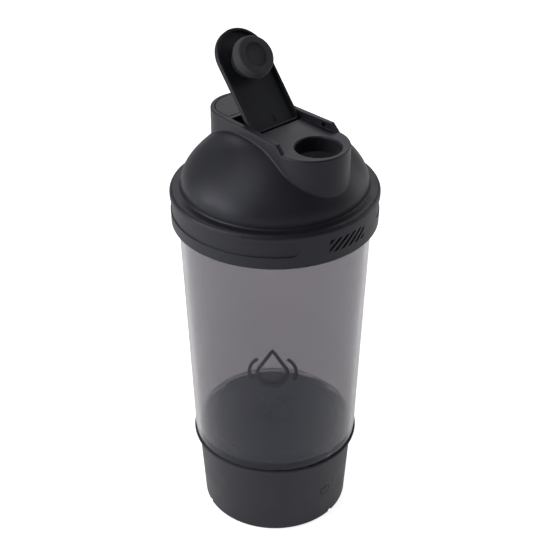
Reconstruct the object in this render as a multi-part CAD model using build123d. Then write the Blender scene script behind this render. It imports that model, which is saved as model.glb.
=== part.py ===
from build123d import *

import os
from math import asin, cos, radians, sin

# A protein shaker bottle with a powered mixing base, in millimetres.
# +Z is up, and the origin is the centre of the underside. The front is -Y: the spout, the grip
# slots and the power button are there. "Forward" is distance from the axis towards the front.

# Driving dimensions

THREAD_LEAD = 12.0          # rise of the three-start threads in one turn
THREAD_STARTS = 3
THREAD_ARC = 100.0          # degrees that each ridge runs
THREAD_FOOT = 1.9           # axial width of a ridge at the wall
THREAD_CREST = 0.9          # and at its crest
RUNNING_GAP = 0.05          # radial clearance of a shaft in its hole

BASE_BOTTOM_R = 37.9
BASE_TOP_R = 40.5
BASE_BOTTOM_Z = 0.5
BASE_TOP_Z = 42.6           # ledge that carries the bumper ring
BASE_RIM_Z = 44.6
BASE_SEAT_Z = 30.8          # ledge that carries the mixing deck
SHELL_NECK_R = 38.6         # bore that takes the cup's lower neck
BUMPER_R = 42.8

DECK_R = 35.6
DECK_Z = 50.0
DECK_WALL = 2.4
DECK_BOSS_R = 7.5
CHANNEL_Z = 32.8            # floor of the channel round the deck

CUP_NECK_R = 37.35
CUP_NECK_BORE_R = 35.9
CUP_FOOT_Z = 34.3
CUP_SHOULDER_Z = 45.0
CUP_BOTTOM_R = 42.1
CUP_TOP_R = 46.2
CUP_TOP_Z = 168.0
CUP_WALL = 2.0
CUP_MOUTH_R = 44.6
CUP_RIM_Z = 183.2

COLLAR_R = 50.0
COLLAR_FOOT_R = 49.6
COLLAR_BORE_R = 46.9
COLLAR_FOOT_Z = 169.9
LEDGE_Z = 187.3             # flat ledge between the collar and the dome
LEDGE_THICK = 2.2
DOME_FOOT_R = 44.5
SKIRT_R = 42.2              # skirt inside the cup's rim
SKIRT_BORE_R = 40.4
SKIRT_FOOT_Z = 181.0

TOWER_FRONT = 41.8
TOWER_FRONT_R = 18.3        # round ends of the tower, seen from above
TOWER_REAR = -37.2
TOWER_REAR_R = 16.4
TOWER_FOOT_Z = 195.0        # hidden inside the dome
TOWER_BLEND = 0.8           # soft inside corner between the tower and the dome
RAIL_Z = 220.4              # top of the rails, the bar and the rear cover
RAIL_INSIDE = 14.5
RAIL_INSIDE_FRONT = 16.2    # the channel between the rails widens towards the spout
RAIL_END = 20.4             # the rails stop here and slope down
STEP_FOOT = 24.2            # to the spout's deck
RAIL_ROUND = 0.7
SPOUT_DECK_Z = 216.8
LID_WALL = 2.2

PIT_REAR = -13.8            # pocket that the cap's hinge end swings in
PIT_FRONT = 3.1
PIT_FLOOR_Z = 211.6
SPOUT_FORWARD = 28.7
SPOUT_R = 10.5
SPOUT_TUBE_R = 12.3

DECK_REAR_Z = 217.5         # the deck slopes from here down to the spout
DECK_LEVEL_FORWARD = 19.0   # and is level from here on

COVER_FRONT = -16.0         # seat of the rear cover
COVER_REAR = -35.2
COVER_HALF_WIDTH = 14.5
COVER_SEAM = 0.3
COVER_THICK = 1.6
COVER_ROOM_Z = 213.8        # floor of the room under the rear cover

HINGE_FORWARD = -1.1
HINGE_Z = 219.0
PIN_R = 0.6
PIN_INNER = 13.1            # the two stub pins run from here out into the rails
PIN_OUTER = 15.9
CAP_OPEN = 130.0            # degrees from level to the rest pose, which is open
CAP_HALF_WIDTH = 14.1
CAP_LENGTH = 46.5           # pin to tip
CAP_HEEL = 3.4              # and past the pin the other way
CAP_UNDER = -1.15           # underside, below the pin's axis
CAP_THICK = 3.2
CAP_RIM = 1.3               # wall round the shallow tray
CAP_TRAY = 1.6              # depth of the tray
CAP_CORNER_R = 2.0
BEAD_R = 0.6                # bead along the heel
LATCH_X = 1.9               # small nub near the heel
PLUG_ALONG = 29.6           # pin to the plug's centre
PLUG_NECK_R = 7.4
PLUG_R = 10.0               # flange that seals in the spout
PLUG_END_R = 9.2
PLUG_REACH = 9.0            # past the cap's underside

SHAFT_R = 2.0
SHAFT_FOOT_Z = 8.5
SHAFT_TOP_Z = 56.0
IMPELLER_Z = 51.3
IMPELLER_R = 15.0

MOTOR_R = 12.0
MOTOR_FOOT_Z = 9.5
MOTOR_TOP_Z = 38.0
CELL_R = 9.0
CELL_X = 22.6
CELL_FOOT_Z = 4.2
CELL_TOP_Z = 37.2
BOSS_AT = 18.5              # X and Y of the four cover bosses
BOSS_R = 3.0
BRACKET_SCREW_Y = 17.0
COVER_Z = 1.2
COVER_TOP_Z = 3.2
COVER_R = 35.9

BUTTON_Z = 20.5
BUTTON_R = 6.5
BUTTON_GAP = 0.08
SYMBOL_DEPTH = 0.2
PORT_Z = 14.0
NOTCH_AZIMUTHS = (9.0, -107.0, 128.0)   # small notches along the base's lower edge
NOTCH_HALF_WIDTH = 1.6
NOTCH_FLOOR_R = 36.8
NOTCH_TOP_Z = 2.6


# Shapes that repeat

def disc(radius, low, high, x=0.0, y=0.0):
    """An upright cylinder between two heights."""
    return Pos(x, y, (low + high) / 2) * Cylinder(radius, high - low)


def ring(outside, inside, low, high, x=0.0, y=0.0):
    """An upright tube between two heights."""
    return disc(outside, low, high, x, y) - disc(inside, low - 1, high + 1, x, y)


def block(x, y, z):
    """A box from three (low, high) pairs."""
    centre = Pos(sum(x) / 2, sum(y) / 2, sum(z) / 2)
    return centre * Box(x[1] - x[0], y[1] - y[0], z[1] - z[0])


def rod(radius, rear, front, x=0.0, z=0.0):
    """A cylinder along Y between two distances forward."""
    turn = Pos(x, -(rear + front) / 2, z) * Rot(90, 0, 0)
    return turn * Cylinder(radius, front - rear)


def cross_rod(radius, half_length, forward, z):
    """A cylinder along X, centred on the middle plane."""
    return Pos(0, -forward, z) * Rot(0, 90, 0) * Cylinder(radius, 2 * half_length)


def turned(*outline):
    """A solid turned round Z from its closed (radius, height) outline."""
    edges = Polyline(*[(r, 0, z) for r, z in outline], close=True)
    return revolve(make_face(edges), Axis.Z)


def side_slab(outline, half_width):
    """A closed (forward, height) outline, spread to both sides of the middle plane."""
    edges = Polyline(*[(0, -forward, z) for forward, z in outline], close=True)
    return extrude(make_face(edges), amount=half_width, dir=(1, 0, 0), both=True)


def circle_edges(shape, radius, z):
    """The round edges of a shape at one radius and height."""
    return [
        edge for edge in shape.edges().filter_by(GeomType.CIRCLE)
        if abs(edge.radius - radius) < 0.02 and abs(edge.arc_center.Z - z) < 0.02
    ]


def wedge(low, high, z):
    """A slice of space between two azimuths, in degrees from the front towards +X."""
    reach = 80.0
    middle = (low + high) / 2
    azimuths = [radians(a) for a in (low, middle, high)]
    far = [(reach * sin(a), -reach * cos(a)) for a in azimuths]
    face = make_face(Polyline((0, 0), *far, close=True))
    return Pos(0, 0, z[0]) * extrude(face, z[1] - z[0])


def around(azimuth):
    """Turns a shape made at the front to an azimuth."""
    return Rot(0, 0, azimuth)


def thread_ridges(wall, crest, start_z):
    """The ridges of a right-hand thread, from the wall's radius to the crest's radius."""
    into_wall = 0.3 if crest < wall else -0.3
    foot = wall + into_wall
    outline = Polyline(
        (foot, 0, start_z - THREAD_FOOT / 2),
        (foot, 0, start_z + THREAD_FOOT / 2),
        (crest, 0, start_z + THREAD_CREST / 2),
        (crest, 0, start_z - THREAD_CREST / 2),
        close=True,
    )
    rise = THREAD_LEAD * THREAD_ARC / 360
    path = Pos(0, 0, start_z) * Helix(pitch=THREAD_LEAD, height=rise, radius=wall)
    ridge = sweep(make_face(outline), path=path, is_frenet=True)
    return [Rot(0, 0, k * 360 / THREAD_STARTS) * ridge for k in range(THREAD_STARTS)]


def joined(shape, pieces):
    """A shape with several pieces fused to it."""
    for piece in pieces:
        shape += piece
    return shape


def screw(head_r, head_z, shank_r, shank_z, x, y):
    """A screw along Z with a cross slot in its head, which is the (face, seat) pair of heights."""
    face, seat = head_z
    head = disc(head_r, min(head_z), max(head_z), x, y)
    depth = 0.45 * (seat - face)
    slot_z = sorted((face, face + depth))
    half = 0.6 * head_r
    head -= block((x - half, x + half), (y - 0.25, y + 0.25), slot_z)
    head -= block((x - 0.25, x + 0.25), (y - half, y + half), slot_z)
    return head + disc(shank_r, min(shank_z), max(shank_z), x, y)


def corners(distance):
    """The four points at plus and minus one distance in X and Y."""
    return [(x, y) for x in (-distance, distance) for y in (-distance, distance)]


# Base

def shell_radius(z):
    """The outside radius of the base at a height."""
    share = (z - BASE_BOTTOM_Z) / (BASE_TOP_Z - BASE_BOTTOM_Z)
    return BASE_BOTTOM_R + share * (BASE_TOP_R - BASE_BOTTOM_R)


def shell_blank():
    """The base shell before its openings are cut."""
    blank = turned(
        (COVER_R, BASE_BOTTOM_Z),
        (BASE_BOTTOM_R - 0.8, BASE_BOTTOM_Z),
        (shell_radius(1.4), 1.4),
        (BASE_TOP_R, BASE_TOP_Z),
        (40.1, BASE_TOP_Z),
        (40.1, BASE_RIM_Z),
        (SHELL_NECK_R, BASE_RIM_Z),
        (SHELL_NECK_R, BASE_SEAT_Z),
        (36.6, BASE_SEAT_Z),
        (35.4, COVER_TOP_Z),
        (COVER_R, COVER_TOP_Z),
    )
    return joined(blank, thread_ridges(SHELL_NECK_R, 37.7, 38.2))


def port_recess():
    """The flat recess in the rear of the shell and the way through to the socket."""
    seat = block((-8.0, 8.0), (37.4, 45.0), (9.0, 19.0))
    way = block((-4.9, 4.9), (33.0, 45.0), (PORT_Z - 2.0, PORT_Z + 2.5))
    return seat + way


def base_shell(blank):
    """The round housing of the base, with a thread in its mouth."""
    shell = blank - rod(BUTTON_R + BUTTON_GAP, 30.0, 45.0, z=BUTTON_Z)
    shell -= port_recess()
    notch = block((-NOTCH_HALF_WIDTH, NOTCH_HALF_WIDTH), (-40.0, -NOTCH_FLOOR_R), (0.0, NOTCH_TOP_Z))
    for azimuth in NOTCH_AZIMUTHS:
        shell -= around(azimuth) * notch
    return shell


def bumper_ring():
    """The soft ring that the cup's shoulder closes on."""
    body = ring(BUMPER_R, 40.1, BASE_TOP_Z + 0.25, BASE_RIM_Z - 0.05)
    edges = circle_edges(body, BUMPER_R, BASE_TOP_Z + 0.25)
    edges += circle_edges(body, BUMPER_R, BASE_RIM_Z - 0.05)
    return fillet(edges, 0.6)


def mixing_deck():
    """The sealed floor of the cup, a raised dish that covers the motor room."""
    top = DECK_Z
    body = turned(
        (4.5, 44.5),
        (DECK_BOSS_R, 44.5),
        (DECK_BOSS_R, top - 3.4),
        (DECK_R - DECK_WALL, top - 2.6),
        (DECK_R - DECK_WALL, BASE_SEAT_Z),
        (SHELL_NECK_R - 0.1, BASE_SEAT_Z),
        (SHELL_NECK_R - 0.1, CHANNEL_Z),
        (DECK_R, CHANNEL_Z),
        (DECK_R, top - 0.8),
        (DECK_R - 0.8, top),
        (DECK_R - 2.4, top),
        (DECK_R - 3.6, top - 0.7),
        (DECK_BOSS_R + 1.5, top - 1.2),
        (DECK_BOSS_R, top + 0.5),
        (5.5, top + 0.5),
        (5.5, 48.0),
        (4.5, 48.0),
    )
    for x, y in corners(BOSS_AT):
        body += disc(BOSS_R, COVER_TOP_Z, 47.5, x, y)
        body -= disc(1.1, COVER_TOP_Z - 1, 14.0, x, y)
    for y in (-BRACKET_SCREW_Y, BRACKET_SCREW_Y):
        body += disc(3.2, 40.0, 47.2, 0, y)
        body -= disc(1.0, 39.0, 45.0, 0, y)
    return body


def shaft_seal():
    """The lip seal round the shaft, in the deck's boss."""
    return turned(
        (5.5, 48.0), (5.5, 50.3), (3.4, 50.3), (2.6, 51.0),
        (SHAFT_R + RUNNING_GAP, 50.6), (SHAFT_R + RUNNING_GAP, 48.0),
    )


def shaft_bushing():
    """The plain bearing of the shaft."""
    return ring(4.5, SHAFT_R + RUNNING_GAP, 44.5, 48.0)


def cup_gasket():
    """The flat ring under the cup's lower neck."""
    return ring(37.3, 36.1, CHANNEL_Z + 0.05, CUP_FOOT_Z - 0.05)


def motor_can():
    """The steel can of the motor, closed at the top."""
    top = MOTOR_TOP_Z
    can = turned(
        (MOTOR_R - 1.0, MOTOR_FOOT_Z), (MOTOR_R, MOTOR_FOOT_Z), (MOTOR_R, top - 1.0),
        (MOTOR_R - 1.0, top), (SHAFT_R + 0.6, top), (SHAFT_R + 0.6, top - 1.5),
        (MOTOR_R - 1.0, top - 1.5),
    )
    for x in (-7.0, 7.0):
        can -= disc(1.0, top - 2.0, top + 1.0, x)
    return can


def motor_end_cap():
    """The plastic end of the motor, with the shaft's lower bearing."""
    return ring(MOTOR_R - 1.0, SHAFT_R + RUNNING_GAP, MOTOR_FOOT_Z, MOTOR_FOOT_Z + 2.0)


def motor_magnets():
    """The two curved magnets inside the can."""
    tube = ring(MOTOR_R - 1.0, 9.6, 15.0, 33.0)
    return tube - block((-12.0, 12.0), (-3.0, 3.0), (14.0, 34.0))


def motor_rotor():
    """The slotted armature on the shaft."""
    core = ring(9.2, SHAFT_R, 15.0, 33.0)
    for k in range(5):
        slot = block((-0.9, 0.9), (-9.5, -5.0), (14.0, 34.0)) + disc(1.8, 14.0, 34.0, 0, -6.2)
        core -= around(k * 72.0) * slot
    return core


def drive_shaft():
    """The shaft from the motor to the impeller."""
    shaft = disc(SHAFT_R, SHAFT_FOOT_Z, SHAFT_TOP_Z)
    return chamfer(circle_edges(shaft, SHAFT_R, SHAFT_FOOT_Z), 0.4)


def impeller():
    """Four leaning blades on a domed hub."""
    body = turned((0, IMPELLER_Z), (4.6, IMPELLER_Z), (4.2, 56.6), (2.6, 58.4), (0, 58.8))
    blade = Pos(0, -IMPELLER_R / 2, 54.2) * Rot(0, 38, 0) * Box(1.4, IMPELLER_R, 6.0)
    for k in range(4):
        body += around(k * 90.0) * blade
    envelope = turned(
        (0, IMPELLER_Z), (IMPELLER_R - 1.0, IMPELLER_Z), (IMPELLER_R, IMPELLER_Z + 1.0),
        (IMPELLER_R - 2.0, 56.8), (5.0, 58.8), (0, 58.8),
    )
    return (body & envelope) - disc(SHAFT_R, IMPELLER_Z - 1, SHAFT_TOP_Z)


def motor_bracket():
    """The plate that hangs the motor from the deck."""
    plate = disc(12.4, MOTOR_TOP_Z, 40.0)
    plate += block((-4.6, 4.6), (-BRACKET_SCREW_Y, BRACKET_SCREW_Y), (MOTOR_TOP_Z, 40.0))
    for y in (-BRACKET_SCREW_Y, BRACKET_SCREW_Y):
        plate += disc(4.6, MOTOR_TOP_Z, 40.0, 0, y)
        plate -= disc(1.0, MOTOR_TOP_Z - 1, 41.0, 0, y)
    for x in (-7.0, 7.0):
        plate -= disc(1.0, MOTOR_TOP_Z - 1, 41.0, x)
    return plate - disc(3.4, MOTOR_TOP_Z - 1, 41.0)


def motor_screws():
    """The screws from the bracket into the motor."""
    made = [screw(1.9, (41.2, 40.0), 1.0, (36.6, 40.0), x, 0) for x in (-7.0, 7.0)]
    return Compound(children=made)


def bracket_screws():
    """The screws from the bracket into the deck."""
    reach = (MOTOR_TOP_Z, 44.8)
    head = (MOTOR_TOP_Z - 1.4, MOTOR_TOP_Z)
    made = [screw(2.2, head, 1.0, reach, 0, y) for y in (-BRACKET_SCREW_Y, BRACKET_SCREW_Y)]
    return Compound(children=made)


def battery_cells():
    """The two upright cells, one each side of the motor."""
    made = []
    for x in (-CELL_X, CELL_X):
        cell = disc(CELL_R, CELL_FOOT_Z, CELL_TOP_Z, x)
        cell = fillet(circle_edges(cell, CELL_R, CELL_TOP_Z), 0.8)
        made.append(cell + disc(2.8, CELL_TOP_Z, CELL_TOP_Z + 0.8, x))
    return Compound(children=made)


def battery_cradle():
    """The tray that holds the cells' feet."""
    body = block((-CELL_X, CELL_X), (-4.0, 4.0), (COVER_TOP_Z, CELL_FOOT_Z))
    for x in (-CELL_X, CELL_X):
        body += disc(CELL_R + 1.1, COVER_TOP_Z, 9.0, x)
    for x in (-CELL_X, CELL_X):
        body -= disc(CELL_R, CELL_FOOT_Z, 10.0, x)
    return body


def switch_board():
    """The upright board behind the power button."""
    return block((-9.0, 9.0), (-30.0, -28.8), (10.0, 31.0))


def tact_switch():
    """The push switch on its board."""
    body = block((-3.0, 3.0), (-33.0, -30.0), (BUTTON_Z - 3.0, BUTTON_Z + 3.0))
    return body + rod(1.7, 33.0, 33.5, z=BUTTON_Z)


def status_led():
    """The indicator light beside the switch."""
    return block((4.4, 6.4), (-31.0, -30.0), (26.0, 27.6))


def power_symbol(inner, outer):
    """The mark on the button: a ring that is open at the top, and a bar in the gap."""
    tube = rod(3.2, inner, outer, z=BUTTON_Z) - rod(2.5, inner - 1, outer + 1, z=BUTTON_Z)
    gap = block((-1.2, 1.2), (-outer - 1, -inner + 1), (BUTTON_Z, BUTTON_Z + 4))
    bar = block((-0.38, 0.38), (-outer, -inner), (BUTTON_Z + 0.4, BUTTON_Z + 3.6))
    return (tube - gap) + bar


def power_button(blank):
    """The round button, flush with the base, with a flange that keeps it in."""
    face = blank & rod(BUTTON_R, 30.0, 45.0, z=BUTTON_Z)
    body = face + (rod(BUTTON_R, 34.4, 36.6, z=BUTTON_Z) + rod(7.6, 34.2, 35.0, z=BUTTON_Z))
    groove_floor = shell_radius(BUTTON_Z) - SYMBOL_DEPTH
    return body - power_symbol(groove_floor, 45.0)


def charge_board():
    """The upright board behind the charging socket."""
    return block((-9.0, 9.0), (27.4, 28.6), (8.0, 24.0))


def usb_socket():
    """The charging socket's shell and tongue."""
    shell = block((-4.4, 4.4), (28.6, 35.0), (PORT_Z - 1.6, PORT_Z + 1.6))
    shell = fillet(shell.edges().filter_by(Axis.Y), 1.5)
    mouth = block((-4.0, 4.0), (29.6, 36.0), (PORT_Z - 1.2, PORT_Z + 1.2))
    mouth = fillet(mouth.edges().filter_by(Axis.Y), 1.1)
    tongue = block((-3.2, 3.2), (29.0, 34.0), (PORT_Z - 0.35, PORT_Z + 0.35))
    return (shell - mouth) + tongue


def port_cover():
    """The rubber flap over the charging socket."""
    flap = block((-7.6, 7.6), (37.7, 39.6), (9.5, 18.6))
    flap = fillet(flap.edges().filter_by(Axis.Y), 1.8)
    flap = flap & disc(38.75, 5.0, 25.0)
    tongue = block((-4.4, 4.4), (36.2, 37.8), (PORT_Z - 1.7, PORT_Z + 1.7))
    return flap + fillet(tongue.edges().filter_by(Axis.Y), 1.2)


def bottom_cover():
    """The plate that closes the base from below."""
    plate = disc(COVER_R, COVER_Z, COVER_TOP_Z)
    plate -= ring(34.8, 29.8, COVER_Z - 1, COVER_Z + 0.5)
    for x, y in corners(BOSS_AT):
        plate -= disc(2.8, COVER_Z - 1, COVER_Z + 1.0, x, y)
        plate -= disc(1.1, COVER_Z, COVER_TOP_Z + 1, x, y)
    return plate


def cover_screws():
    """The screws through the bottom cover into the deck's bosses."""
    head = (COVER_Z, COVER_Z + 1.0)
    reach = (COVER_Z + 1.0, 13.5)
    return Compound(children=[screw(2.6, head, 1.1, reach, x, y) for x, y in corners(BOSS_AT)])


def foot_ring():
    """The rubber ring that the bottle stands on."""
    foot = ring(34.8, 29.8, 0.0, COVER_Z + 0.5)
    edges = circle_edges(foot, 34.8, 0.0) + circle_edges(foot, 29.8, 0.0)
    return fillet(edges, 0.4)


def wire(radii, *points):
    """A thin lead along straight runs joined by arcs."""
    path = FilletPolyline(*points, radius=radii)
    start = Plane(origin=path @ 0, z_dir=path % 0)
    return sweep(start * Circle(0.6), path=path)


def motor_leads():
    """The two leads from the motor's end to the switch board."""
    made = []
    for x in (-5.0, 5.0):
        made.append(wire(
            1.6,
            (x, -6.0, MOTOR_FOOT_Z),
            (x, -6.0, 6.0),
            (x, -25.5, 6.0),
            (x, -25.5, 13.0),
            (x, -28.8, 13.0),
        ))
    return Compound(children=made)


def battery_leads():
    """The two leads from the cells' tops to the charge board."""
    made = []
    for side in (-1, 1):
        made.append(wire(
            1.4,
            (side * CELL_X, 0, CELL_TOP_Z + 0.8),
            (side * CELL_X, 0, 41.5),
            (side * 7.5, 23.5, 41.5),
            (side * 7.5, 23.5, 20.0),
            (side * 7.5, 27.4, 20.0),
        ))
    return Compound(children=made)


# Cup

def cup():
    """The clear cup, open at both ends, with a thread on each neck."""
    mouth_bore = CUP_MOUTH_R - CUP_WALL
    body = turned(
        (CUP_NECK_BORE_R, CUP_FOOT_Z),
        (CUP_NECK_R, CUP_FOOT_Z),
        (CUP_NECK_R, CUP_SHOULDER_Z),
        (CUP_BOTTOM_R, CUP_SHOULDER_Z),
        (CUP_TOP_R, CUP_TOP_Z),
        (CUP_MOUTH_R, CUP_TOP_Z + 1.8),
        (CUP_MOUTH_R, CUP_RIM_Z),
        (mouth_bore, CUP_RIM_Z),
        (mouth_bore, CUP_TOP_Z + 3.0),
        (CUP_TOP_R - CUP_WALL, CUP_TOP_Z - 0.5),
        (CUP_BOTTOM_R - CUP_WALL, CUP_SHOULDER_Z + 4.0),
        (CUP_NECK_BORE_R, CUP_SHOULDER_Z + 1.8),
    )
    rim = circle_edges(body, CUP_MOUTH_R, CUP_RIM_Z) + circle_edges(body, mouth_bore, CUP_RIM_Z)
    body = fillet(rim, 0.6)
    body = fillet(circle_edges(body, CUP_BOTTOM_R, CUP_SHOULDER_Z), 0.5)
    body = joined(body, thread_ridges(CUP_MOUTH_R, 46.4, 175.6))
    return joined(body, thread_ridges(CUP_NECK_R, 38.25, 36.2))


# Lid

DOME_OUTSIDE = (
    (DOME_FOOT_R, LEDGE_Z), (44.0, 192.6), (41.3, 197.9), (36.8, 203.2), (31.4, 208.2),
    (26.0, 212.3), (18.0, 216.0), (8.0, 217.8), (0.0, 218.2),
)
DOME_INSIDE = (
    (SKIRT_BORE_R, 190.5), (39.1, 196.6), (35.2, 201.6), (29.8, 206.4),
    (25.6, PIT_FLOOR_Z - LID_WALL),
)


def lid_gasket():
    """The ring seal between the lid and the cup's rim."""
    body = ring(45.5, 42.5, CUP_RIM_Z + 0.05, LEDGE_Z - LEDGE_THICK - 0.05)
    edges = circle_edges(body, 45.5, CUP_RIM_Z + 0.05) + circle_edges(body, 42.5, CUP_RIM_Z + 0.05)
    return fillet(edges, 0.4)


def lid_outside():
    """The lid as a filled solid: collar, dome and tower, with the tower blended into the dome."""
    dome = Spline(*[(r, 0, z) for r, z in DOME_OUTSIDE], tangents=[(0, 0, 1), (-1, 0, 0)])
    rest = Polyline(
        (0, 0, DOME_OUTSIDE[-1][1]),
        (0, 0, COLLAR_FOOT_Z),
        (COLLAR_FOOT_R, 0, COLLAR_FOOT_Z),
        (COLLAR_R, 0, LEDGE_Z),
        (DOME_FOOT_R, 0, LEDGE_Z),
    )
    body = revolve(make_face(Curve() + [dome, rest]), Axis.Z)
    body = fillet(circle_edges(body, COLLAR_R, LEDGE_Z), 2.0)
    body = fillet(circle_edges(body, DOME_FOOT_R, LEDGE_Z), 1.0)
    body = chamfer(circle_edges(body, COLLAR_FOOT_R, COLLAR_FOOT_Z), 0.4)
    body += tower()
    meeting = [
        edge for edge in body.edges().filter_by(GeomType.BSPLINE)
        if all(TOWER_FOOT_Z + 1 < (edge @ t).Z < SPOUT_DECK_Z - 0.3 for t in (0, 0.5, 1))
    ]
    return fillet(meeting, TOWER_BLEND)


def tower_plan(inset=0.0):
    """The tower's outline seen from above: two round ends and the straight sides between."""
    front_r, rear_r = TOWER_FRONT_R - inset, TOWER_REAR_R - inset
    front_centre, rear_centre = TOWER_FRONT - TOWER_FRONT_R, TOWER_REAR + TOWER_REAR_R
    lean = asin((front_r - rear_r) / (front_centre - rear_centre))
    front_x, front_y = front_r * cos(lean), -(front_centre - front_r * sin(lean))
    rear_x, rear_y = rear_r * cos(lean), -(rear_centre - rear_r * sin(lean))
    outline = Curve() + [
        ThreePointArc((-front_x, front_y), (0, inset - TOWER_FRONT), (front_x, front_y)),
        Line((front_x, front_y), (rear_x, rear_y)),
        ThreePointArc((rear_x, rear_y), (0, -inset - TOWER_REAR), (-rear_x, rear_y)),
        Line((-rear_x, rear_y), (-front_x, front_y)),
    ]
    return make_face(outline)


def tower():
    """The raised tower with its step down to the spout, rounded all the way along its rim."""
    body = Pos(0, 0, TOWER_FOOT_Z) * extrude(tower_plan(), RAIL_Z - TOWER_FOOT_Z)
    body -= side_slab(
        ((RAIL_END, RAIL_Z), (STEP_FOOT, SPOUT_DECK_Z), (50.0, SPOUT_DECK_Z), (50.0, 230.0),
         (RAIL_END, 230.0)),
        30.0,
    )
    across = body.edges().filter_by(Axis.X)
    top = body.edges().filter_by(lambda edge: (edge @ 0.5).Z > SPOUT_DECK_Z - 0.1)
    return fillet([edge for edge in top if edge not in across], RAIL_ROUND)


def d_plan(front, rear, half_width, corner):
    """A D seen from above: straight towards the front, round towards the rear."""
    shoulder = rear + half_width
    left, right = (-half_width, -front), (half_width, -front)
    left_back, right_back = (-half_width, -shoulder), (half_width, -shoulder)
    outline = Curve() + [
        Line(left, right),
        Line(right, right_back),
        ThreePointArc(right_back, (0, -rear), left_back),
        Line(left_back, left),
    ]
    face = make_face(outline)
    return fillet(face.vertices().sort_by(Axis.Y)[:2], corner)


def collar_slots():
    """Seven leaning slots at the front of the collar, cut off level at both ends."""
    pitch, lean = 4.9, 49.0
    bar = Pos(0, -COLLAR_R, 178.25) * Rot(0, lean, 0) * Box(1.35, 3.0, 14.0)
    made = around(-3 * pitch) * bar
    for k in range(-2, 4):
        made += around(k * pitch) * bar
    window = wedge(-12.5, 12.5, (175.0, 181.5))
    return (made & window) - disc(COLLAR_R - 0.9, 170.0, 190.0)


def collar_panel():
    """A long shallow panel with round ends on the +X side of the collar."""
    low, high, end = 176.1, 183.8, 4.4
    middle, radius = (low + high) / 2, (high - low) / 2
    first, last = 28.7 + end, 151.3 - end
    body = wedge(first, last, (low, high)) & ring(52.0, COLLAR_R - 0.75, low, high)
    for azimuth in (first, last):
        body += around(azimuth) * rod(radius, COLLAR_R - 0.75, 52.0, z=middle)
    return body


def hinge_axis():
    """Where the cap's pin is."""
    return Pos(0, -HINGE_FORWARD, HINGE_Z)


def lid_void():
    """The room inside the tower's front, under the spout."""
    low, high = 190.0, SPOUT_DECK_Z - 2.4
    room = Pos(0, 0, low) * extrude(tower_plan(LID_WALL), high - low)
    return room - block((-20.0, 20.0), (-PIT_FRONT - LID_WALL, 60.0), (low - 1, high + 1))


def lid_shell():
    """The screw lid in one piece: collar, dome and tower."""
    body = lid_outside()
    body -= lid_inside()
    body -= lid_void()
    body += ring(SPOUT_TUBE_R, SPOUT_R, 209.5, SPOUT_DECK_Z, 0, -SPOUT_FORWARD)
    body -= spout_and_deck_cut()
    body -= block((-RAIL_INSIDE, RAIL_INSIDE), (-PIT_FRONT, -PIT_REAR), (PIT_FLOOR_Z, 230.0))
    body -= rail_recesses()
    body -= cover_recess()
    body -= cross_rod(PIN_R, PIN_OUTER, HINGE_FORWARD, HINGE_Z)
    for half_turn in (0.0, 180.0):
        body -= around(half_turn) * collar_slots()
        body -= around(half_turn) * collar_panel()
    return joined(body, thread_ridges(COLLAR_BORE_R, 45.1, 173.6))


def lid_inside():
    """The room under the lid, as a solid: the thread's bore, the seal's seat and the dome."""
    ceiling = PIT_FLOOR_Z - LID_WALL
    seat = LEDGE_Z - LEDGE_THICK
    inside = Spline(*[(r, 0, z) for r, z in DOME_INSIDE])
    rest = Polyline(
        (DOME_INSIDE[-1][0], 0, ceiling),
        (0, 0, ceiling),
        (0, 0, COLLAR_FOOT_Z - 1),
        (COLLAR_BORE_R, 0, COLLAR_FOOT_Z - 1),
        (COLLAR_BORE_R, 0, seat),
        (SKIRT_R, 0, seat),
        (SKIRT_R, 0, SKIRT_FOOT_Z),
        (SKIRT_BORE_R, 0, SKIRT_FOOT_Z),
        (SKIRT_BORE_R, 0, DOME_INSIDE[0][1]),
    )
    return revolve(make_face(Curve() + [inside, rest]), Axis.Z)


def spout_and_deck_cut():
    """What is cut from above: the sloping deck between the rails, and the spout hole."""
    profile = side_slab(
        ((PIT_FRONT, DECK_REAR_Z), (DECK_LEVEL_FORWARD, SPOUT_DECK_Z), (STEP_FOOT, SPOUT_DECK_Z),
         (STEP_FOOT, 230.0), (PIT_FRONT, 230.0)),
        20.0,
    )
    plan = make_face(Polyline(
        (-RAIL_INSIDE, -PIT_FRONT), (RAIL_INSIDE, -PIT_FRONT),
        (RAIL_INSIDE_FRONT, -STEP_FOOT), (-RAIL_INSIDE_FRONT, -STEP_FOOT),
        close=True,
    ))
    channel = profile & Pos(0, 0, 200.0) * extrude(plan, 40.0)
    hole = disc(SPOUT_R, 200.0, 230.0, 0, -SPOUT_FORWARD)
    lip = Pos(0, -SPOUT_FORWARD, SPOUT_DECK_Z - 0.3) * Cone(SPOUT_R, SPOUT_R + 0.6, 0.6)
    return channel + hole + lip


def rail_recesses():
    """The small recess in the inside of each rail, near its front end."""
    along, height = (-20.2, -15.0), (217.1, 219.3)
    return block((-17.5, -15.0), along, height) + block((15.0, 16.8), along, height)


def cover_recess():
    """The D-shaped seat of the rear cover, with a deeper room under it."""
    seat = d_plan(COVER_FRONT, COVER_REAR, COVER_HALF_WIDTH, 1.1)
    room = d_plan(COVER_FRONT - 1.6, COVER_REAR + 1.6, COVER_HALF_WIDTH - 1.6, 0.8)
    recess = Pos(0, 0, RAIL_Z - COVER_THICK) * extrude(seat, 5.0)
    return recess + Pos(0, 0, COVER_ROOM_Z) * extrude(room, 6.0)


def rear_cover():
    """The flush plate behind the hinge pocket."""
    plan = d_plan(
        COVER_FRONT - COVER_SEAM, COVER_REAR + COVER_SEAM, COVER_HALF_WIDTH - COVER_SEAM, 0.8)
    plate = Pos(0, 0, RAIL_Z - COVER_THICK) * extrude(plan, COVER_THICK)
    top = plate.faces().sort_by(Axis.Z)[-1]
    return chamfer(top.edges(), 0.2)


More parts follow.
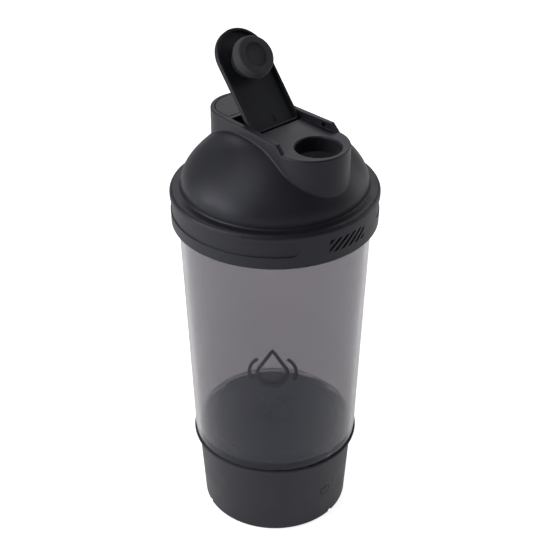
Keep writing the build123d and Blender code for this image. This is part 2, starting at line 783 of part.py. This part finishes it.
def hinge_pins():
    """The two stub pins between the rails and the cap's heel."""
    length = PIN_OUTER - PIN_INNER
    pin = hinge_axis() * Rot(0, 90, 0) * Cylinder(PIN_R, length)
    middle = (PIN_OUTER + PIN_INNER) / 2
    return Compound(children=[Pos(side * middle, 0, 0) * pin for side in (-1, 1)])


# Cap. It is drawn level, with the pin on the X axis and its tip towards the front, and then
# swung open to the rest pose.

def opened(shape):
    """Swings a level cap piece open and sets it on the hinge."""
    return hinge_axis() * Rot(-CAP_OPEN, 0, 0) * shape


def cap_plan(inset=0.0):
    """The cap's outline seen from above: square at the heel and round at the tip."""
    half = CAP_HALF_WIDTH - inset
    heel, tip = inset - CAP_HEEL, CAP_LENGTH - inset
    shoulder = CAP_LENGTH - CAP_HALF_WIDTH
    outline = Curve() + [
        Line((half, -heel), (-half, -heel)),
        Line((-half, -heel), (-half, -shoulder)),
        ThreePointArc((-half, -shoulder), (0, -tip), (half, -shoulder)),
        Line((half, -shoulder), (half, -heel)),
    ]
    face = make_face(outline)
    heels = face.vertices().sort_by(Axis.Y)[-2:]
    return fillet(heels, CAP_CORNER_R - inset)


def flip_cap():
    """The flip-up cap: a shallow tray with a bead along its heel and a hole for each pin."""
    plate = Pos(0, 0, CAP_UNDER) * extrude(cap_plan(), CAP_THICK)
    plate = fillet(plate.faces().sort_by(Axis.Z)[-1].edges(), 1.0)
    plate = fillet(plate.faces().sort_by(Axis.Z)[0].edges(), 0.3)
    plate -= Pos(0, 0, CAP_UNDER - 1.0) * extrude(cap_plan(CAP_RIM), CAP_TRAY + 1.0)
    bead = Pos(0, CAP_HEEL - BEAD_R - 0.05, CAP_UNDER + 0.1) * Rot(0, 90, 0)
    plate += bead * Cylinder(BEAD_R, 2 * (CAP_HALF_WIDTH - CAP_CORNER_R))
    depth = 4.0
    for side in (-1, 1):
        hole = Pos(side * (PIN_INNER - RUNNING_GAP + depth / 2), 0, 0) * Rot(0, 90, 0)
        plate -= hole * Cylinder(PIN_R + RUNNING_GAP, depth)
    floor_z = CAP_UNDER + CAP_TRAY
    plate += Pos(LATCH_X, -0.3, floor_z) * Sphere(0.6)
    plate += Pos(LATCH_X, -1.9, floor_z - 0.1) * Box(0.5, 1.6, 0.8)
    return opened(plate)


def spout_plug():
    """The soft plug on the cap's underside: a neck, a sealing flange and a hollow end."""
    ceiling = CAP_UNDER + CAP_TRAY
    end = CAP_UNDER - PLUG_REACH
    body = turned(
        (0, ceiling), (PLUG_NECK_R, ceiling), (PLUG_NECK_R, end + 5.4), (PLUG_R - 0.4, end + 5.0),
        (PLUG_R, end + 4.6), (PLUG_R, end + 3.2), (PLUG_END_R + 0.2, end + 0.8),
        (PLUG_END_R - 0.1, end + 0.3), (PLUG_END_R - 0.6, end), (6.2, end), (5.9, end + 0.3),
        (5.8, end + 1.3), (0, end + 1.5),
    )
    return opened(Pos(0, -PLUG_ALONG, 0) * body)


BLANK = shell_blank()

PARTS = {
    "base_shell": base_shell(BLANK),
    "bumper_ring": bumper_ring(),
    "mixing_deck": mixing_deck(),
    "shaft_seal": shaft_seal(),
    "shaft_bushing": shaft_bushing(),
    "cup_gasket": cup_gasket(),
    "motor_can": motor_can(),
    "motor_end_cap": motor_end_cap(),
    "motor_magnets": motor_magnets(),
    "motor_rotor": motor_rotor(),
    "drive_shaft": drive_shaft(),
    "impeller": impeller(),
    "motor_bracket": motor_bracket(),
    "motor_screws": motor_screws(),
    "bracket_screws": bracket_screws(),
    "battery_cells": battery_cells(),
    "battery_cradle": battery_cradle(),
    "switch_board": switch_board(),
    "tact_switch": tact_switch(),
    "status_led": status_led(),
    "power_button": power_button(BLANK),
    "charge_board": charge_board(),
    "usb_socket": usb_socket(),
    "port_cover": port_cover(),
    "bottom_cover": bottom_cover(),
    "cover_screws": cover_screws(),
    "foot_ring": foot_ring(),
    "motor_leads": motor_leads(),
    "battery_leads": battery_leads(),
    "cup": cup(),
    "lid_gasket": lid_gasket(),
    "lid_shell": lid_shell(),
    "rear_cover": rear_cover(),
    "hinge_pins": hinge_pins(),
    "flip_cap": flip_cap(),
    "spout_plug": spout_plug(),
}

os.makedirs("parts", exist_ok=True)
for node, shape in PARTS.items():
    export_step(shape, f"parts/{node}.step")
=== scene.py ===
import math

import bmesh
import bpy
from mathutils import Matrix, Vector
from mathutils.bvhtree import BVHTree


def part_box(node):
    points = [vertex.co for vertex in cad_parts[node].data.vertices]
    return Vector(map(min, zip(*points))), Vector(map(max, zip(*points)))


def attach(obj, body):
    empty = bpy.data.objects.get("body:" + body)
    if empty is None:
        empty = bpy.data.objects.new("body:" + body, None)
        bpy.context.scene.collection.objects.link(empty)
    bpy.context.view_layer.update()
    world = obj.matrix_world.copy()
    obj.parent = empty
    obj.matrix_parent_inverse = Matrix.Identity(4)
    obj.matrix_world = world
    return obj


# The looks of a protein shaker bottle with a powered base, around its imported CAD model.
# Metres, +Z up. The front, with the spout and the power button, is -Y.

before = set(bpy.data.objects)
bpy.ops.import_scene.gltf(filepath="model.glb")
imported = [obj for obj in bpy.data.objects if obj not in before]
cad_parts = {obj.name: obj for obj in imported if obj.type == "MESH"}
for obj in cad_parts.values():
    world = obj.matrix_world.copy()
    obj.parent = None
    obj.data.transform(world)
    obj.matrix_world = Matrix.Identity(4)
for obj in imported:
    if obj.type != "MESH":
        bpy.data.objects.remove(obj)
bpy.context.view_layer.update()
SCENE = bpy.context.scene
MM = 0.001


# Camera, lights and floor

CAMERA_AZIMUTH = -42.0      # degrees round Z from the front
CAMERA_PITCH = 32.42        # degrees down
CAMERA_REACH = 0.5017       # horizontal distance from the bottle's axis
CAMERA_HEIGHT = 0.4545
CAMERA_LENS = 78.55
SENSOR_WIDTH = 36.0

WORLD_LIGHT = 0.12          # strength of the studio's walls as a light
FLOOR_HALF = 5.0
FLOOR_GLOW = 0.28           # light that the floor gives off everywhere
FLOOR_GLOW_SEEN = 0.55      # and adds where it is seen, straight or through the cup

LIGHTS = {
    # name: azimuth from the camera's own, reach, height, size, power
    "left": (-72.0, 0.95, 0.45, (0.9, 0.5), 5.2),
    "left_high": (-60.0, 0.65, 1.05, (0.6, 0.6), 2.4),
    "back": (180.0, 0.9, 0.95, (1.4, 0.8), 5.0),
    "right_rim": (118.0, 1.0, 0.35, (0.5, 0.6), 1.3),
    "left_rim": (-128.0, 1.0, 0.35, (0.5, 0.6), 0.15),
    "glint": (92.0, 0.8, 0.65, (0.12, 0.3), 0.25),
}
LIGHTS_AIM = (0.0, 0.0, 0.13)


def around(azimuth, reach, height):
    """A point at an azimuth, in degrees from the front towards +X."""
    a = math.radians(azimuth)
    return Vector((reach * math.sin(a), -reach * math.cos(a), height))


def add_camera():
    """The camera, level across and pitched down at the bottle."""
    data = bpy.data.cameras.new("camera")
    data.lens = CAMERA_LENS
    data.sensor_width = SENSOR_WIDTH
    data.clip_start = 0.02
    data.clip_end = 50.0
    camera = bpy.data.objects.new("camera", data)
    SCENE.collection.objects.link(camera)
    camera.location = around(CAMERA_AZIMUTH, CAMERA_REACH, CAMERA_HEIGHT)
    camera.rotation_euler = (
        math.radians(90.0 - CAMERA_PITCH), 0.0, math.radians(CAMERA_AZIMUTH)
    )
    SCENE.camera = camera


def softbox(name, azimuth, reach, height, size, power):
    """A rectangular studio light, placed by its azimuth from the camera's own."""
    data = bpy.data.lights.new(name, "AREA")
    data.shape = "RECTANGLE"
    data.size, data.size_y = size
    data.energy = power
    light = bpy.data.objects.new(name, data)
    SCENE.collection.objects.link(light)
    light.location = around(CAMERA_AZIMUTH + azimuth, reach, height)
    facing = Vector(LIGHTS_AIM) - light.location
    light.rotation_euler = facing.to_track_quat("-Z", "Y").to_euler()


def add_world():
    """A white studio: bright where the camera sees it, softer as a light."""
    world = bpy.data.worlds.new("studio")
    world.use_nodes = True
    SCENE.world = world
    nodes, links = world.node_tree.nodes, world.node_tree.links
    nodes.clear()
    out = nodes.new("ShaderNodeOutputWorld")
    seen = nodes.new("ShaderNodeBackground")
    seen.inputs["Color"].default_value = (1.0, 1.0, 1.0, 1.0)
    seen.inputs["Strength"].default_value = 1.0
    lit = nodes.new("ShaderNodeBackground")
    lit.inputs["Color"].default_value = (0.95, 0.97, 1.0, 1.0)
    lit.inputs["Strength"].default_value = WORLD_LIGHT
    path = nodes.new("ShaderNodeLightPath")
    mix = nodes.new("ShaderNodeMixShader")
    links.new(path.outputs["Is Camera Ray"], mix.inputs[0])
    links.new(lit.outputs[0], mix.inputs[1])
    links.new(seen.outputs[0], mix.inputs[2])
    links.new(mix.outputs[0], out.inputs[0])


def add_floor():
    """A wide plain white floor that glows a little, so that the shadow on it stays faint."""
    mesh = bpy.data.meshes.new("floor")
    work = bmesh.new()
    bmesh.ops.create_grid(work, x_segments=24, y_segments=24, size=FLOOR_HALF)
    work.to_mesh(mesh)
    work.free()
    floor = bpy.data.objects.new("floor", mesh)
    SCENE.collection.objects.link(floor)
    mat = bpy.data.materials.new("floor_white")
    mat.use_nodes = True
    nodes, links = mat.node_tree.nodes, mat.node_tree.links
    shader = nodes["Principled BSDF"]
    shader.inputs["Base Color"].default_value = (0.80, 0.80, 0.805, 1.0)
    shader.inputs["Roughness"].default_value = 0.9
    shader.inputs["Specular IOR Level"].default_value = 0.0
    shader.inputs["Emission Color"].default_value = (1.0, 1.0, 1.0, 1.0)
    path = nodes.new("ShaderNodeLightPath")
    either = nodes.new("ShaderNodeMath")
    either.operation = "MAXIMUM"
    links.new(path.outputs["Is Camera Ray"], either.inputs[0])
    links.new(path.outputs["Is Transmission Ray"], either.inputs[1])
    glow = nodes.new("ShaderNodeMath")
    glow.operation = "MULTIPLY_ADD"
    glow.inputs[1].default_value = FLOOR_GLOW_SEEN
    glow.inputs[2].default_value = FLOOR_GLOW
    links.new(either.outputs[0], glow.inputs[0])
    links.new(glow.outputs[0], shader.inputs["Emission Strength"])
    mesh.materials.append(mat)


# Shader nodes

class Shader:
    """One material's node tree, with a Principled shader at its end."""

    def __init__(self, name):
        self.material = bpy.data.materials.new(name)
        self.material.use_nodes = True
        self.nodes = self.material.node_tree.nodes
        self.links = self.material.node_tree.links
        self.nodes.clear()
        self.end = self.nodes.new("ShaderNodeBsdfPrincipled")
        out = self.nodes.new("ShaderNodeOutputMaterial")
        self.links.new(self.end.outputs[0], out.inputs[0])
        self.place = self.nodes.new("ShaderNodeTexCoord").outputs["Object"]

    def put(self, value, socket):
        """Links an output to a socket, or sets the socket to a plain value."""
        if isinstance(value, bpy.types.NodeSocket):
            self.links.new(value, socket)
        elif hasattr(value, "__len__") and len(value) == 3 and len(socket.default_value) == 4:
            socket.default_value = (*value, 1.0)
        else:
            socket.default_value = value

    def stretched(self, scale):
        """The object's coordinates, scaled by axis."""
        node = self.nodes.new("ShaderNodeMapping")
        node.inputs["Scale"].default_value = scale
        self.links.new(self.place, node.inputs["Vector"])
        return node.outputs[0]

    def noise(self, size_mm, detail=2.0, place=None, roughness=0.5):
        """Noise with features of about one size, from 0 to 1."""
        node = self.nodes.new("ShaderNodeTexNoise")
        node.inputs["Scale"].default_value = 1.0 / (size_mm * MM)
        node.inputs["Detail"].default_value = detail
        node.inputs["Roughness"].default_value = roughness
        self.links.new(place or self.place, node.inputs["Vector"])
        return node.outputs[0]

    def span(self, value, low, high, start=0.3, stop=0.7):
        """Maps a value between start and stop to low to high, held at both ends."""
        node = self.nodes.new("ShaderNodeMapRange")
        self.links.new(value, node.inputs["Value"])
        node.inputs["From Min"].default_value = start
        node.inputs["From Max"].default_value = stop
        node.inputs["To Min"].default_value = low
        node.inputs["To Max"].default_value = high
        return node.outputs[0]

    def maths(self, operation, a, b):
        """Two values put together by a Math node."""
        node = self.nodes.new("ShaderNodeMath")
        node.operation = operation
        self.put(a, node.inputs[0])
        self.put(b, node.inputs[1])
        return node.outputs[0]

    def colour(self, share, first, second):
        """The first colour at share 0 and the second at 1."""
        node = self.nodes.new("ShaderNodeMix")
        node.data_type = "RGBA"
        self.put(share, node.inputs[0])
        self.put(first, node.inputs[6])
        self.put(second, node.inputs[7])
        return node.outputs[2]

    def rounded(self, radius_mm):
        """The normal of edges rounded to a radius, and a mask that is 1 on those edges."""
        bevel = self.nodes.new("ShaderNodeBevel")
        bevel.samples = 6
        bevel.inputs["Radius"].default_value = radius_mm * MM
        geometry = self.nodes.new("ShaderNodeNewGeometry")
        dot = self.nodes.new("ShaderNodeVectorMath")
        dot.operation = "DOT_PRODUCT"
        self.links.new(bevel.outputs[0], dot.inputs[0])
        self.links.new(geometry.outputs["Normal"], dot.inputs[1])
        return bevel.outputs[0], self.span(dot.outputs["Value"], 1.0, 0.0, 0.86, 0.995)

    def bump(self, height, depth_mm, strength=1.0, normal=None):
        """A bump from a height of 0 to 1."""
        node = self.nodes.new("ShaderNodeBump")
        node.inputs["Distance"].default_value = depth_mm * MM
        node.inputs["Strength"].default_value = strength
        self.links.new(height, node.inputs["Height"])
        if normal is not None:
            self.links.new(normal, node.inputs["Normal"])
        return node.outputs[0]

    def finish(self, **sockets):
        """Sets the shader's sockets by name, with _ for a space, and gives the material."""
        for name, value in sockets.items():
            self.put(value, self.end.inputs[name.replace("_", " ")])
        return self.material


def scaled(colour, factor):
    """A colour made lighter or darker."""
    return tuple(channel * factor for channel in colour)


COOL_SHINE = (0.88, 0.89, 1.0)      # faint blue of the black pigment's gloss
SMOKE_SHINE = (0.80, 0.84, 1.0)     # and of the clear cup's


def moulded(name, colour, roughness, grain_mm=0.5, grain_depth=0.02, edge_highlight_gain=1.7, specular=0.35):
    """Moulded plastic: fine spark-eroded grain, faint flow mottling and a painted highlight that
    lightens the edges in patches.
    """
    s = Shader(name)
    normal, highlight_edges = s.rounded(0.35)
    flow = s.noise(26.0, 3.0)
    body = s.colour(s.span(flow, 0.0, 1.0), scaled(colour, 0.9), scaled(colour, 1.1))
    patchy = s.span(s.noise(3.2, 4.0), 0.15, 1.0)
    # Painted highlight: the edges' colour is lightened in patches, standing for rounded edges
    # catching the light.
    painted_edge_highlight = s.maths("MULTIPLY", highlight_edges, patchy)
    body = s.colour(painted_edge_highlight, body, scaled(colour, edge_highlight_gain))
    grain = s.noise(grain_mm, 3.0, roughness=0.6)
    shine = s.maths("ADD", s.span(s.noise(9.0, 3.0), roughness - 0.035, roughness + 0.035),
                    s.span(grain, -0.02, 0.02))
    bumped = s.bump(grain, grain_depth, 0.6, normal)
    return s.finish(Base_Color=body, Roughness=shine, Normal=bumped, Specular_IOR_Level=specular,
                    Specular_Tint=COOL_SHINE)


def rubber(name, colour, roughness=0.7):
    """Silicone rubber: very matte, with a soft sheen and faint dust."""
    s = Shader(name)
    normal, _ = s.rounded(0.3)
    dust = s.span(s.noise(1.1, 4.0, roughness=0.7), 0.0, 0.5, 0.55, 0.8)
    body = s.colour(s.span(s.noise(14.0, 3.0), 0.0, 1.0), scaled(colour, 0.9), scaled(colour, 1.1))
    body = s.colour(dust, body, scaled(colour, 1.35))
    shine = s.span(s.noise(4.0, 3.0), roughness - 0.05, roughness + 0.05)
    bumped = s.bump(s.noise(0.6, 2.0), 0.015, 0.5, normal)
    return s.finish(Base_Color=body, Roughness=shine, Normal=bumped, Specular_IOR_Level=0.25,
                    Sheen_Weight=0.05, Sheen_Roughness=0.5)


def smoked(name, tint, roughness):
    """Clear smoke-tinted copolyester with faint flow lines and a fine haze."""
    s = Shader(name)
    flow = s.noise(7.0, 3.0, s.stretched((1.0, 1.0, 0.12)))
    body = s.colour(s.span(flow, 0.0, 1.0), scaled(tint, 0.985), scaled(tint, 1.015))
    haze = s.span(s.noise(16.0, 2.0), roughness - 0.015, roughness + 0.015)
    bumped = s.bump(s.noise(14.0, 1.0), 0.02, 0.2)
    return s.finish(Base_Color=body, Roughness=haze, Normal=bumped, IOR=1.5,
                    Specular_Tint=SMOKE_SHINE, Transmission_Weight=1.0)


def metal(name, colour, roughness, grain=(1.0, 1.0, 0.05)):
    """Ground or drawn metal, with fine streaks along its grain and darker spots."""
    s = Shader(name)
    normal, highlight_edges = s.rounded(0.2)
    streaks = s.noise(0.25, 4.0, s.stretched(grain), 0.7)
    body = s.colour(s.span(streaks, 0.0, 1.0), scaled(colour, 0.85), scaled(colour, 1.08))
    body = s.colour(s.span(s.noise(2.5, 4.0), 0.0, 0.35, 0.55, 0.8), body, scaled(colour, 0.6))
    # Painted highlight: the edges' colour is made lighter, standing for rounded edges catching the
    # light.
    body = s.colour(highlight_edges, body, scaled(colour, 1.15))
    shine = s.span(streaks, roughness - 0.08, roughness + 0.08)
    bumped = s.bump(streaks, 0.004, 0.5, normal)
    return s.finish(Base_Color=body, Roughness=shine, Normal=bumped, Metallic=1.0)


def glossy(name, colour, roughness=0.22, speckle=0.15):
    """A smooth glossy finish with faint orange peel and specks of dust."""
    s = Shader(name)
    normal, highlight_edges = s.rounded(0.2)
    body = s.colour(s.span(s.noise(5.0, 3.0), 0.0, 1.0), scaled(colour, 1 - speckle),
                    scaled(colour, 1 + speckle))
    # Painted highlight: the edges' colour is made lighter, standing for rounded edges catching the
    # light.
    body = s.colour(highlight_edges, body, scaled(colour, 1.4))
    shine = s.span(s.noise(1.5, 4.0), roughness - 0.05, roughness + 0.08)
    bumped = s.bump(s.noise(1.2, 2.0), 0.01, 0.4, normal)
    return s.finish(Base_Color=body, Roughness=shine, Normal=bumped)


BLACK_COOL = (0.0155, 0.0157, 0.0205)
BLACK_DEEP = (0.0110, 0.0114, 0.0145)
BLACK_WARM = (0.0195, 0.0184, 0.0242)

# The edge values set how much lighter the painted highlight on moulded edges is.
MATERIALS = {
    "lid_black": moulded("lid_black", BLACK_COOL, 0.45, edge_highlight_gain=2.4, specular=0.42),
    "cap_black": moulded("cap_black", BLACK_DEEP, 0.5, edge_highlight_gain=2.6),
    "soft_black": rubber("soft_black", (0.046, 0.046, 0.054)),
    "seal_grey": rubber("seal_grey", (0.30, 0.31, 0.33), 0.5),
    "cup_smoke": smoked("cup_smoke", (0.345, 0.33, 0.345), 0.05),
    "base_black": moulded("base_black", BLACK_WARM, 0.42, specular=0.5),
    "deck_black": moulded("deck_black", (0.027, 0.029, 0.036), 0.45),
    "button_black": moulded("button_black", BLACK_WARM, 0.42, specular=0.5),
    "impeller_black": glossy("impeller_black", (0.014, 0.014, 0.016), 0.62),
    "steel": metal("steel", (0.62, 0.62, 0.64), 0.26),
    "screw_steel": metal("screw_steel", (0.42, 0.42, 0.44), 0.36, (1.0, 1.0, 1.0)),
    "motor_steel": metal("motor_steel", (0.55, 0.55, 0.56), 0.33),
    "bronze": metal("bronze", (0.66, 0.46, 0.24), 0.42, (1.0, 1.0, 1.0)),
    "magnet": glossy("magnet", (0.10, 0.10, 0.11), 0.5),
    "armature": metal("armature", (0.62, 0.33, 0.16), 0.35, (1.0, 1.0, 0.3)),
    "inner_white": moulded("inner_white", (0.62, 0.62, 0.60), 0.5, edge_highlight_gain=1.15, specular=0.5),
    "cell_blue": glossy("cell_blue", (0.05, 0.17, 0.42), 0.28, 0.06),
    "board_green": glossy("board_green", (0.02, 0.16, 0.08), 0.34, 0.1),
    "part_black": glossy("part_black", (0.025, 0.025, 0.026), 0.4),
    "led_white": glossy("led_white", (0.85, 0.85, 0.80), 0.2, 0.03),
    "wire_red": rubber("wire_red", (0.50, 0.03, 0.025), 0.45),
}


def dress_cad_nodes():
    """Gives each CAD node the detailed material of its slot."""
    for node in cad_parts.values():
        for place in node.material_slots:
            slot = place.material.name.split(".")[0]
            place.material = MATERIALS[slot]


# Pieces that the CAD doesn't hold

def surface_of(node):
    """A search tree over a CAD node's faces, to find points on its surface."""
    return BVHTree.FromObject(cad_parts[node], bpy.context.evaluated_depsgraph_get())


def add_piece(name, verts, faces, body, slot):
    """A mesh piece that rides on a body and takes its slot's material."""
    mesh = bpy.data.meshes.new(name)
    mesh.from_pydata(verts, [], faces)
    work = bmesh.new()
    work.from_mesh(mesh)
    bmesh.ops.recalc_face_normals(work, faces=work.faces)
    work.to_mesh(mesh)
    work.free()
    mesh.materials.append(MATERIALS[slot])
    piece = bpy.data.objects.new(name, mesh)
    SCENE.collection.objects.link(piece)
    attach(piece, body)
    return piece


def ribbon(path, half_width, closed):
    """The left and right edges of a flat line drawn along (across, up) points."""
    count = len(path)
    left, right = [], []
    for k, (u, v) in enumerate(path):
        before = path[(k - 1) % count] if closed or k > 0 else path[k]
        after = path[(k + 1) % count] if closed or k < count - 1 else path[k]
        du, dv = after[0] - before[0], after[1] - before[1]
        length = math.hypot(du, dv)
        nu, nv = -dv / length * half_width, du / length * half_width
        left.append((u + nu, v + nv))
        right.append((u - nu, v - nv))
    return left, right


def printed(name, lines, to_surface, thickness, body, slot):
    """Lines of print: each (path, half width, closed) laid on a surface as a thin solid layer."""
    verts, faces = [], []
    for path, half_width, closed in lines:
        left, right = ribbon(path, half_width, closed)
        first = len(verts)
        for a, b in zip(left, right):
            for u, v in (a, b):
                point, normal = to_surface(u, v)
                verts.append(point + normal * thickness)
                verts.append(point - normal * thickness)
        count = len(path)
        last = count if closed else count - 1
        for k in range(last):
            here, there = first + 4 * k, first + 4 * ((k + 1) % count)
            for p, q in ((0, 2), (2, 3), (3, 1), (1, 0)):
                faces.append((here + p, here + q, there + q, there + p))
        if not closed:
            end = first + 4 * (count - 1)
            faces.append((first, first + 1, first + 3, first + 2))
            faces.append((end, end + 2, end + 3, end + 1))
    return add_piece(name, verts, faces, body, slot)


def drop_outline(width, height, steps=64):
    """A plain water drop as a closed path, its point upwards and its foot at 0."""
    radius = width / 2
    tip = height - radius
    tangent = math.acos(radius / tip)
    path = []
    for k in range(steps + 1):
        a = tangent + (2 * math.pi - 2 * tangent) * k / steps
        path.append((radius * math.sin(a), radius + radius * math.cos(a)))
    start, end = path[-1], path[0]
    straight = 10
    for k in range(1, straight):
        t = k / straight
        path.append((start[0] * (1 - t), start[1] + (height - start[1]) * t))
    path.append((0.0, height))
    for k in range(1, straight):
        t = k / straight
        path.append((end[0] * t, height + (end[1] - height) * t))
    return path


def arc(centre, radius, start, stop, steps=24):
    """An open arc of (across, up) points between two angles in degrees from straight up."""
    made = []
    for k in range(steps + 1):
        a = math.radians(start + (stop - start) * k / steps)
        made.append((centre[0] + radius * math.sin(a), centre[1] + radius * math.cos(a)))
    return made


MARK_FOOT = 100.5 * MM      # height of the drop's foot
MARK_AZIMUTH = -43.5        # degrees round Z from the front
MARK_WALL_R = 44.0 * MM     # the cup's radius there
DROP_WIDTH = 14.5 * MM
DROP_HEIGHT = 21.5 * MM
RIPPLE_R = 11.3 * MM


def cup_mark():
    """A plain drop between two ripples, printed on the cup."""
    tree = surface_of("cup")
    reach = 2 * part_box("cup")[1].x

    def on_cup(across, up):
        turn = math.radians(MARK_AZIMUTH) + across / MARK_WALL_R
        outward = Vector((math.sin(turn), -math.cos(turn), 0.0))
        start = outward * reach + Vector((0.0, 0.0, MARK_FOOT + up))
        point, normal, _, _ = tree.ray_cast(start, -outward)
        return point, normal

    half = 0.85 * MM
    middle = (0.0, DROP_WIDTH / 2)
    lines = [(drop_outline(DROP_WIDTH, DROP_HEIGHT), half, True)]
    for side in (-1, 1):
        lines.append((arc(middle, RIPPLE_R, side * 38, side * 112), half, False))
    printed("cup_mark", lines, on_cup, 0.04 * MM, "cup", "soft_black")


def button_mark():
    """Dark paint in the floor of the engraved power symbol."""
    low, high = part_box("power_button")
    middle_z = (low.z + high.z) / 2
    tree = surface_of("power_button")

    def on_groove(across, up):
        start = Vector((across, low.y - 10.0 * MM, middle_z + up))
        point, normal, _, _ = tree.ray_cast(start, Vector((0, 1, 0)))
        return point, normal

    gap = 25.0      # degrees left open on each side of the bar
    ring_path = arc((0.0, 0.0), 2.85 * MM, gap, 360 - gap, 48)
    bar = [(0.0, (0.45 + 0.31 * k) * MM) for k in range(11)]
    lines = [(ring_path, 0.345 * MM, False), (bar, 0.37 * MM, False)]
    printed("button_mark", lines, on_groove, 0.03 * MM, "button", "cap_black")


add_camera()
add_world()
add_floor()
for light_name, settings in LIGHTS.items():
    softbox(light_name, *settings)
dress_cad_nodes()
cup_mark()
button_mark()

SCENE.view_settings.view_transform = "Standard"
